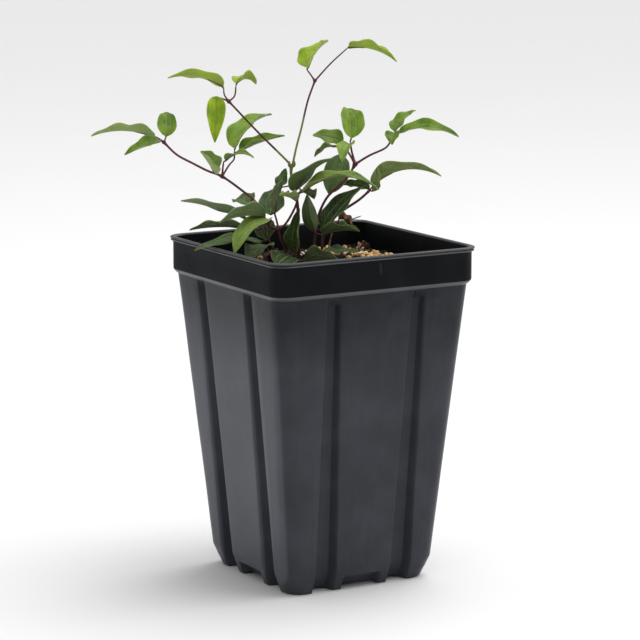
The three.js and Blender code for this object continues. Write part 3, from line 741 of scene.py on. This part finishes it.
def outside_rows():
    """The outside from the foot to the lip, and over it: height, half width, how much of the grooves."""
    foot = [
        (0, FOOT_HALF - 0.7, 1), (0.2, FOOT_HALF - 0.2, 1), (0.8, foot_half(0.8), 1),
        (3, foot_half(3), 1), (6, foot_half(6), 1), (RECESS_TOP - RECESS_ROOF_RUN, foot_half(RECESS_TOP), 1),
        (RECESS_TOP, foot_half(RECESS_TOP), 1),
        (RECESS_TOP + RECESS_ROOF_RUN, foot_half(RECESS_TOP + RECESS_ROOF_RUN), 1),
        (RECESS_TOP + 1.2, foot_half(RECESS_TOP + 1.2), 1),
        (KNEE_HEIGHT - 0.8, foot_half(KNEE_HEIGHT - 0.8), 1), (KNEE_HEIGHT, KNEE_HALF - 0.08, 1),
        (KNEE_HEIGHT + 0.8, side_half(KNEE_HEIGHT + 0.8), 1),
    ]
    sides = [(z, side_half(z), 1) for z in (30, 50, 70, 90, SIDE_MIDDLE, 130, 150, 165)]
    shelf = [
        (GROOVE_TOP - 0.7, side_half(GROOVE_TOP - 0.7), 1), (GROOVE_TOP, side_half(GROOVE_TOP), 0.96),
        (GROOVE_TOP + 0.7, side_half(GROOVE_TOP + 0.7), 0.86),
        (SHOULDER - 0.9, side_half(SHOULDER - 0.9), 0.12), (SHOULDER - 0.4, SHOULDER_HALF, 0.02),
        (SHOULDER, SHOULDER_HALF + 0.15, 0), (SHELF_EDGE, SHOULDER_HALF + 0.8, 0),
        (COLLAR_FOOT - 0.3, COLLAR_HALF - 0.45, 0),
    ]
    collar = [
        (COLLAR_FOOT + 0.4, COLLAR_HALF - 0.1, 0), (COLLAR_FOOT + 1.2, COLLAR_HALF, 0),
        (COLLAR_MIDDLE, COLLAR_HALF, 0), (LIP_FOOT - 0.6, COLLAR_HALF, 0),
    ]
    lip = [
        (LIP_FOOT, COLLAR_HALF + 0.25, 0), (LIP_FOOT + 0.35, LIP_HALF - 0.5, 0),
        (LOWER_BEAD, LIP_HALF - 0.25, 0), (LIP_FOOT + 1.25, LIP_HALF - 0.5, 0),
        (LIP_FOOT + 1.5, LIP_HALF - 0.95, 0), (LIP_FOOT + 1.75, LIP_HALF - 0.4, 0),
        (UPPER_BEAD, LIP_HALF, 0), (LIP_FOOT + 2.7, LIP_HALF - 0.2, 0),
        (POT_HEIGHT, LIP_HALF - 0.9, 0), (POT_HEIGHT, LIP_HALF - 1.9, 0),
        (POT_HEIGHT - 0.3, COLLAR_INSIDE + 0.4, 0), (POT_HEIGHT - 1, COLLAR_INSIDE, 0),
    ]
    return foot + sides + shelf + collar + lip


def inside_rows():
    """The lining from the lip down to the floor, before the wall is taken off."""
    return [
        (COLLAR_MIDDLE, COLLAR_INSIDE + SIDE_WALL, 0), (COLLAR_FOOT + 1, COLLAR_INSIDE + SIDE_WALL, 0),
        (SHOULDER, SHOULDER_HALF, 0), (GROOVE_TOP, side_half(GROOVE_TOP), 1),
        (SIDE_MIDDLE, side_half(SIDE_MIDDLE), 1), (KNEE_HEIGHT, KNEE_HALF, 1),
        (FLOOR_TOP, foot_half(FLOOR_TOP), 1),
    ]


def under_rows():
    """The hollow under the floor, from the floor down to the foot's edge."""
    return [(z, foot_half(z), 1) for z in (FLOOR_HEIGHT, FLOOR_HEIGHT - 0.3, RECESS_TOP, 4, 0)]


def bow_sides(bm):
    """Presses the sides in by a fraction of a millimetre. The foot, the collar and the lip stay true."""
    for vert in bm.verts:
        above_foot = smooth_share(vert.co.z, 6, 40)
        below_collar = smooth_share(vert.co.z, COLLAR_FOOT + 2, GROOVE_TOP - 12)
        push = noise.noise(vert.co * BOW_SCALE + BOW_SEED) * BOW * (above_foot * below_collar)
        flat = Vector((vert.co.x, vert.co.y, 0))
        vert.co -= flat.normalized() * abs(push)


def make_pot():
    lining = inside_rows()
    levels = [Level(z, half, SIDE_WALL, grooved) for z, half, grooved in under_rows()]
    levels += [Level(z, half, 0, grooved) for z, half, grooved in outside_rows()]
    levels += [Level(z, half, SIDE_WALL, grooved) for z, half, grooved in lining]
    finishes = {}
    for row, level in enumerate(levels):
        # The lining and the collar take the darker copy, painted shade.
        if row >= len(levels) - len(lining) or COLLAR_FOOT + 1 < level.z < LIP_FOOT:
            finishes[row] = POT_MATTE_SHADED
        # The shelf's edge and the lip's beads take the painted highlight.
        elif level.z in (SHELF_EDGE, LOWER_BEAD, UPPER_BEAD):
            finishes[row] = POT_EDGE_HIGHLIGHT

    bm = bmesh.new()
    first, last = loft(bm, [level.points() for level in levels], finishes)
    bmesh.ops.contextual_create(bm, geom=first)
    bmesh.ops.contextual_create(bm, geom=last)
    bow_sides(bm)
    pot = make_piece(bm, "pot", [pot_satin, pot_matte_shaded, pot_edge_highlight], ["nursery_pot"], sharp=32)
    corners = [(x, y) for x in (-DRAIN_PLACE, DRAIN_PLACE) for y in (-DRAIN_PLACE, DRAIN_PLACE)]
    drill = upright_post("drains", corners, DRAIN_RADIUS, FLOOR_HEIGHT - DRILL_PAST, FLOOR_TOP + DRILL_PAST)
    cut(pot, drill, "DIFFERENCE")
    cut(pot, upright_post("pad", [(0, 0)], PAD_RADIUS, 0, FLOOR_HEIGHT + PAD_INTO_FLOOR), "UNION")
    return pot


# ---------- potting mix ----------

def mix_height(x, y):
    """Height of the mix, with a mound round the stems and crumbly lumps."""
    away = (Vector((x, y)) - MOUND_CENTRE).length / MOUND_RADIUS
    mound = MOUND_HEIGHT * math.exp(-away * away)
    spot = Vector((x, y, 0))
    lumps = sum(height * noise.noise(spot * closeness) for height, closeness in MIX_LUMPS)
    return POT_HEIGHT - MIX_BELOW_RIM + mound + lumps


def make_mix():
    """The mix: a body that lines the pot's inside, and rings that close over its uneven top."""
    inset = SIDE_WALL + MIX_GAP
    body = [
        (FLOOR_TOP + MIX_GAP, foot_half(FLOOR_TOP), 1), (KNEE_HEIGHT, KNEE_HALF, 1),
        (SIDE_MIDDLE, side_half(SIDE_MIDDLE), 1), (GROOVE_TOP, side_half(GROOVE_TOP), 1),
        (SHOULDER, SHOULDER_HALF, 0), (COLLAR_FOOT + 1, COLLAR_INSIDE + SIDE_WALL, 0),
    ]
    rings = [Level(z, half, inset, grooved).points() for z, half, grooved in body]
    rim = rings[-1]
    for step in range(MIX_RINGS):
        share = 1 - step / (MIX_RINGS + 1)
        ring = []
        for point in rim:
            x, y = point.x * share, point.y * share
            ring.append(Vector((x, y, mix_height(x, y))))
        rings.append(ring)
    bm = bmesh.new()
    first, last = loft(bm, rings)
    bmesh.ops.contextual_create(bm, geom=first)
    bmesh.ops.contextual_create(bm, geom=last)
    return make_piece(bm, "mix_body", [peat], ["potting_mix"], sharp=60)


def scatter(bm, rng, count, radii, stretch, subdivisions, raised, inside=63, spots=None, shift=None):
    """Lumps lying on the mix: at random places, or near the given spots (x, y, spread).

    `stretch` is the range of their three sizes and `raised` the height of their middle, as shares
    of the radius. `shift`, where it is given, says how far each of a lump's points is moved."""
    for _ in range(count):
        if spots:
            x, y, spread = rng.choice(spots)
            x, y = rng.gauss(x, spread), rng.gauss(y, spread)
        else:
            x, y = rng.uniform(-inside, inside), rng.uniform(-inside, inside)
        radius = rng.uniform(*radii)
        shape = Vector([radius * rng.uniform(*stretch) for _ in range(3)])
        turn = Matrix.Rotation(rng.uniform(0, math.pi), 4, Vector([rng.gauss(0, 1) for _ in range(3)]))
        if max(abs(x), abs(y)) > inside:
            continue
        place = Matrix.Translation((x, y, mix_height(x, y) + radius * raised))
        lump = bmesh.ops.create_icosphere(bm, subdivisions=subdivisions, radius=1,
                                          matrix=place @ turn @ Matrix.Diagonal((*shape, 1)))
        if shift:
            for vert in lump["verts"]:
                vert.co += shift(vert.co)


def make_crumbs():
    """Loose crumbs of peat and short fibres on top of the mix."""
    rng = random.Random(11)

    def ragged(_):
        return Vector([rng.uniform(-0.15, 0.15) for _ in range(3)])

    bm = bmesh.new()
    scatter(bm, rng, 1700, radii=(0.6, 1.7), stretch=(0.6, 1.2), subdivisions=1, raised=0.2, shift=ragged)
    scatter(bm, rng, 200, radii=(0.5, 0.9), stretch=(0.5, 3.2), subdivisions=1, raised=0.4, inside=62)
    return make_piece(bm, "peat_crumbs", [peat], sharp=25)


# Where the fertiliser grains lie thickest: x, y, spread.
PRILL_SPOTS = [
    (42, 20, 5), (50, 26, 4), (40, 5, 4), (48, 7, 4), (27, 1, 4), (45, 46, 5), (32, 26, 6), (35, 54, 4),
    (30, 40, 9), (52, 12, 5), (-20, 38, 16), (10, -30, 18),
]


def make_prills():
    """Round slow-release fertiliser grains, 3 to 4 mm across."""
    bm = bmesh.new()
    scatter(bm, random.Random(5), 84, radii=(1.4, 2.0), stretch=(0.9, 1.06), subdivisions=3, raised=0.75,
            inside=61, spots=PRILL_SPOTS)
    return make_piece(bm, "fertiliser_grains", [prill_tan], sharp=80)


def make_perlite():
    """White crumbs of perlite with pitted sides."""
    noise.seed_set(8)

    def pitted(co):
        return noise.noise_vector(co * 1.3) * 0.35

    bm = bmesh.new()
    scatter(bm, random.Random(8), 46, radii=(0.7, 1.6), stretch=(0.7, 1.2), subdivisions=2, raised=0.6,
            inside=61, shift=pitted)
    return make_piece(bm, "perlite_bits", [perlite_white], sharp=25)


# ---------- stems and stalks ----------

def smooth_route(points, step):
    """Points about `step` apart on a smooth curve through the given ones."""
    points = [Vector(point) for point in points]
    ends = [points[0] * 2 - points[1]] + points + [points[-1] * 2 - points[-2]]
    route = []
    for before, start, end, after in zip(ends, ends[1:], ends[2:], ends[3:]):
        count = max(1, round((end - start).length / step))
        for index in range(count):
            u = index / count
            bow = before * 2 - start * 5 + end * 4 - after
            twist = start * 3 - before - end * 3 + after
            route.append((start * 2 + (end - before) * u + bow * u * u + twist * u ** 3) / 2)
    route.append(points[-1])
    return route


def add_tube(bm, route, radii, sides=12, ribs=0.06, material=0):
    """A closed tube along a route with a radius at each point, by extruding a ribbed circle."""
    ring = bmesh.ops.create_circle(bm, cap_ends=False, segments=sides, radius=1)["verts"]
    for index, vert in enumerate(ring):
        vert.co *= 1 - ribs * (index % 2)
    edges = list(dict.fromkeys(edge for vert in ring for edge in vert.link_edges))
    made_faces = []
    first = edges
    ahead = (route[1] - route[0]).normalized()
    turn = ahead.to_track_quat("Z", "Y")
    pose = Matrix.Identity(4)
    for index, (point, radius) in enumerate(zip(route, radii)):
        if index:
            grown = bmesh.ops.extrude_edge_only(bm, edges=edges)["geom"]
            ring, edges = new_parts(grown)
            made_faces += [part for part in grown if isinstance(part, bmesh.types.BMFace)]
            towards = (route[min(index + 1, len(route) - 1)] - route[index - 1]).normalized()
            turn = ahead.rotation_difference(towards) @ turn
            ahead = towards
        stand = Matrix.Translation(point) @ turn.to_matrix().to_4x4() @ Matrix.Scale(radius, 4)
        bmesh.ops.transform(bm, matrix=stand @ pose.inverted(), verts=ring)
        pose = stand
    made_faces += bmesh.ops.contextual_create(bm, geom=first)["faces"]
    made_faces += bmesh.ops.contextual_create(bm, geom=edges)["faces"]
    for face in made_faces:
        face.material_index = material


def above_rim(points):
    """Points measured from the rim, as points of the pot's own frame."""
    return [Vector(point) + UP * POT_HEIGHT for point in points]


def stalk_radii(route, start, end, swellings):
    """Radii that taper along a route, swell at the given places, and round off at the far end."""
    radii = []
    last = len(route) - 1
    for index, point in enumerate(route):
        radius = between((start, end), index / last)
        for place in swellings:
            away = (point - place).length / (SWELLING_REACH * start)
            radius += SWELLING * start * math.exp(-away ** 2)
        radii.append(radius)
    radii[-1] *= STEM_END_SHARE
    return radii


def add_buds(bm):
    """The pair of pointed buds in the fork of the main shoot."""
    fork = above_rim([BUD_FORK])[0]
    for side in (-1, 1):
        route = smooth_route([fork + Vector((side * x, y, z)) for x, y, z in BUD_POINTS], 0.7)
        last = len(route) - 1
        radii = [0.15 + 0.85 * math.sin(math.pi * (0.16 + 0.8 * index / last)) for index in range(last + 1)]
        add_tube(bm, route, radii, sides=10, ribs=0)


def make_stem(name, radius, branches):
    """A stem and its branches: tapered, and swollen where they fork and where it ends."""
    bm = bmesh.new()
    forks = [above_rim([branch[0]])[0] for branch in branches[1:]]
    joints = forks + [above_rim([branches[0][-1]])[0]]
    for number, branch in enumerate(branches):
        points = above_rim(branch)
        if number == 0 and branch[0][2] < 0:
            points.insert(0, points[0] - UP * STEM_INTO_MIX)
        route = smooth_route(points, 1.6)
        thick = radius if number == 0 else radius * BRANCH_SHARE
        thin = radius * (0.85 if number == 0 else 0.6)
        add_tube(bm, route, stalk_radii(route, thick, thin, joints), STEM_SIDES, STEM_RIBS)
    if name == "main_shoot":
        add_buds(bm)
    skin, slot = (dry_pink, "dry_leaf") if name == "dry_stalks" else (stalk_red, "stem")
    return make_piece(bm, "stem_" + name, [skin], [name], sharp=50)


def stalk_points():
    """Points all along every stem, for joining each leaflet to the nearest."""
    found = []
    for _, branches in STEMS.values():
        for branch in branches:
            found += smooth_route(above_rim(branch), 1.0)
    return found


# ---------- leaflets ----------

def blade_share(t):
    """Width along a blade: broad near the base, long-pointed."""
    return math.sin(math.pi * t ** 0.62) ** 0.9 if 0 < t < 1 else 0


class Blade:
    """The curved sheet of one leaflet."""

    def __init__(self, row, rng):
        start, heading, pitch, self.length, self.width, droop, roll, fold, self.kind = row
        self.start = above_rim([start])[0]
        self.pitch, self.droop = math.radians(pitch), math.radians(droop)
        self.roll, self.fold = math.radians(roll), math.radians(fold)
        self.heading = Vector((math.cos(math.radians(heading)), math.sin(math.radians(heading)), 0))
        self.left = UP.cross(self.heading)
        self.phases = (rng.uniform(0, 1), rng.uniform(0, 1))
        self.waves = rng.uniform(*WAVE_COUNT)

    def forward(self, t):
        """The way the midrib runs at t."""
        bend = self.pitch - self.droop * t
        return self.heading * math.cos(bend) + UP * math.sin(bend)

    def normal(self, t):
        """Out of the upper side, with the roll."""
        return Quaternion(self.forward(t), self.roll) @ self.forward(t).cross(self.left)

    def midrib(self, t):
        """A point of the midrib, which bends at an even rate from base to tip."""
        bend = self.pitch - self.droop * t
        reach = self.length / self.droop
        run = reach * (math.sin(self.pitch) - math.sin(bend))
        rise = reach * (math.cos(bend) - math.cos(self.pitch))
        return self.start + self.heading * run + UP * rise

    def at(self, t, s):
        """A point of the sheet: t along the midrib, s across from one margin (-1) to the other (1)."""
        side = Quaternion(self.forward(t), self.roll) @ self.left
        half = (self.width * blade_share(t) + LEAF_TIP) / 2
        swell = math.hypot(s, 0.1) - 0.1
        vein_dip = 0
        for vein, depth, reach in (SIDE_VEIN_DENT, MIDRIB_DENT):
            vein_dip += depth * math.exp(-((abs(s) - vein) / reach) ** 2)
        phase = self.phases[0 if s < 0 else 1]
        wave = WAVE_HEIGHT * blade_share(t) * s * s * math.sin(2 * math.pi * (self.waves * t + phase))
        lift = swell * half * math.sin(self.fold) + wave - vein_dip * blade_share(t)
        return self.midrib(t) + side * (s * half * math.cos(self.fold)) + self.normal(t) * lift


def add_blade(bm, blade, layers):
    """The blade: a grid laid on the sheet, then extruded to its thickness."""
    along, across, under = layers
    made = bmesh.ops.create_grid(bm, x_segments=BLADE_STEPS, y_segments=BLADE_LANES, size=1)
    for vert in made["verts"]:
        vert[along] = (vert.co.x + 1) / 2
        vert[across] = vert.co.y
        vert.co = blade.at(vert[along], vert[across]) + blade.normal(vert[along]) * LEAF_THICKNESS / 2
    faces = list(dict.fromkeys(face for vert in made["verts"] for face in vert.link_faces))
    grown = bmesh.ops.extrude_face_region(bm, geom=faces)["geom"]
    for vert in [part for part in grown if isinstance(part, bmesh.types.BMVert)]:
        vert[under] = 1
        vert.co -= blade.normal(vert[along]) * LEAF_THICKNESS


def add_stalklet(bm, blade, anchors):
    """The short stalk from the nearest stem to the blade, ending under the midrib."""
    nearest = min(anchors, key=lambda point: (point - blade.start).length)
    tail = [blade.midrib(t) - blade.normal(t) * STALKLET_BELOW for t in STALKLET_ENDS]
    middle = (nearest + blade.start) / 2 - blade.forward(0) * 0.25
    points = [nearest, middle] + tail if (nearest - blade.start).length > 3 else [nearest] + tail
    route = smooth_route(points, 1.3)
    last = len(route) - 1
    radii = [STALKLET_RADIUS * (1 - 0.62 * (index / last) ** 1.5) for index in range(last + 1)]
    add_tube(bm, route, radii, sides=8, ribs=0, material=1)


def make_leaflet(name, row, anchors, rng):
    """One leaflet on its stalklet. Its pale and tone values say how it differs from its finish."""
    bm = bmesh.new()
    layers = [bm.verts.layers.float.new(key) for key in ("along", "across", "under")]
    pale = bm.verts.layers.float.new("pale")
    tone = bm.verts.layers.float.new("tone")
    blade = Blade(row, rng)
    add_blade(bm, blade, layers)
    shade = TONE.get(name, 0) + rng.uniform(-TONE_SPREAD, TONE_SPREAD)
    for vert in bm.verts:
        vert[pale] = PALE.get(name, 0)
        vert[tone] = shade
    add_stalklet(bm, blade, anchors)
    dry = blade.kind == "dry"
    materials = [dry_brown, dry_pink] if dry else [LEAF_FINISHES[blade.kind], stalk_red]
    slot = "dry_leaf" if dry else "leaf_" + blade.kind
    return make_piece(bm, "leaf_" + name, materials, ["leaflet_" + name], sharp=60)


# ---------- fallen bits ----------

# Curled dry leaf pieces on the mix: x, y, heading, length, width.
DRY_BITS = [
    (53, 43, 20, 11, 6), (28, 10, 140, 9, 4), (18, 30, 75, 8, 4), (-5, 44, 200, 10, 5), (44, 33, -60, 6, 3),
    (-40, 30, 10, 9, 5), (8, -40, 50, 10, 5), (-30, -40, 120, 8, 4), (56, -8, 90, 7, 3),
]
DRY_BIT_LIFT = 1.6

# A dry twig lying among them: x, y, height above the mix.
TWIG = [(30, 46, 1.2), (38, 44, 2.0), (47, 38, 1.6), (55, 34, 1.3)]
TWIG_RADIUS = 0.7


def make_dry_bits():
    """Curled bits of dead leaf on the mix, and a twig."""
    rng = random.Random(21)
    bm = bmesh.new()
    layers = [bm.verts.layers.float.new(key) for key in ("along", "across", "under")]
    for x, y, heading, length, width in DRY_BITS:
        base = (x, y, mix_height(x, y) - POT_HEIGHT + DRY_BIT_LIFT)
        row = (base, heading, 25, length, width, 70, rng.uniform(-25, 25), 50, "dry")
        add_blade(bm, Blade(row, rng), layers)
    route = smooth_route([(x, y, mix_height(x, y) + lift) for x, y, lift in TWIG], 2)
    add_tube(bm, route, [TWIG_RADIUS] * len(route), sides=8, ribs=0.15)
    return make_piece(bm, "dry_bits", [dry_brown], sharp=50)


# ---------- studio, in metres ----------

CAMERA_AZIMUTH = math.radians(-30.2)
CAMERA_ELEVATION = math.radians(10.1)
CAMERA_DISTANCE = 1.6948
CAMERA_TARGET = Vector((-0.0003, 0.0002, 0.1553))
FOCAL_LENGTH = 157.5
SENSOR_WIDTH = 36
LIGHT_TARGET = Vector((0, 0, 0.2))
FLOOR_HALF = 14
SKY_STRENGTH = 0.57


def make_camera():
    """A long lens that looks slightly down at the pot's front left corner."""
    data = bpy.data.cameras.new("camera")
    data.lens = FOCAL_LENGTH
    data.sensor_width = SENSOR_WIDTH
    data.clip_end = 100
    camera = bpy.data.objects.new("camera", data)
    level = math.cos(CAMERA_ELEVATION)
    away = (math.sin(CAMERA_AZIMUTH) * level, -math.cos(CAMERA_AZIMUTH) * level, math.sin(CAMERA_ELEVATION))
    back = Vector(away)
    turn = back.to_track_quat("Z", "Y").to_matrix().to_4x4()
    camera.matrix_world = Matrix.Translation(CAMERA_TARGET + back * CAMERA_DISTANCE) @ turn
    SCENE.collection.objects.link(camera)
    SCENE.camera = camera


def make_softbox(name, place, size, power):
    """A square soft light that faces the plant."""
    data = bpy.data.lights.new(name, "AREA")
    data.shape = "SQUARE"
    data.size = size
    data.energy = power
    light = bpy.data.objects.new(name, data)
    facing = (Vector(place) - LIGHT_TARGET).to_track_quat("Z", "Y").to_matrix().to_4x4()
    light.matrix_world = Matrix.Translation(place) @ facing
    SCENE.collection.objects.link(light)


def make_sun(name, place, strength, spread):
    """A very broad, soft light from far away, in the direction of `place`."""
    data = bpy.data.lights.new(name, "SUN")
    data.energy = strength
    data.angle = math.radians(spread)
    light = bpy.data.objects.new(name, data)
    light.matrix_world = Vector(place).to_track_quat("Z", "Y").to_matrix().to_4x4()
    SCENE.collection.objects.link(light)


def make_floor():
    """The plain floor that the pot stands on."""
    bm = bmesh.new()
    bmesh.ops.create_grid(bm, x_segments=1, y_segments=1, size=FLOOR_HALF)
    mesh = bpy.data.meshes.new("floor")
    bm.to_mesh(mesh)
    bm.free()
    mesh.materials.append(floor_finish("floor_pale"))
    floor = bpy.data.objects.new("floor", mesh)
    SCENE.collection.objects.link(floor)


def make_world():
    """Even white light from all round."""
    world = bpy.data.worlds.new("studio")
    world.use_nodes = True
    sky = world.node_tree.nodes["Background"]
    sky.inputs["Color"].default_value = (1, 1, 1, 1)
    sky.inputs["Strength"].default_value = SKY_STRENGTH
    SCENE.world = world


make_camera()
make_world()
make_floor()
make_sun("window", (0.8, -0.1, 1.3), strength=1.3, spread=65)
make_softbox("top", (0.5, 0.1, 2.2), size=1.6, power=18)
SCENE.view_settings.view_transform = "Standard"

make_pot()
make_mix()
make_crumbs()
make_prills()
make_perlite()
make_dry_bits()
for stem_name, (stem_radius, stem_branches) in STEMS.items():
    make_stem(stem_name, stem_radius, stem_branches)
leaf_random = random.Random(42)
stem_line = stalk_points()
for leaf_name, leaf_row in LEAFLETS.items():
    make_leaflet(leaf_name, leaf_row, stem_line, leaf_random)
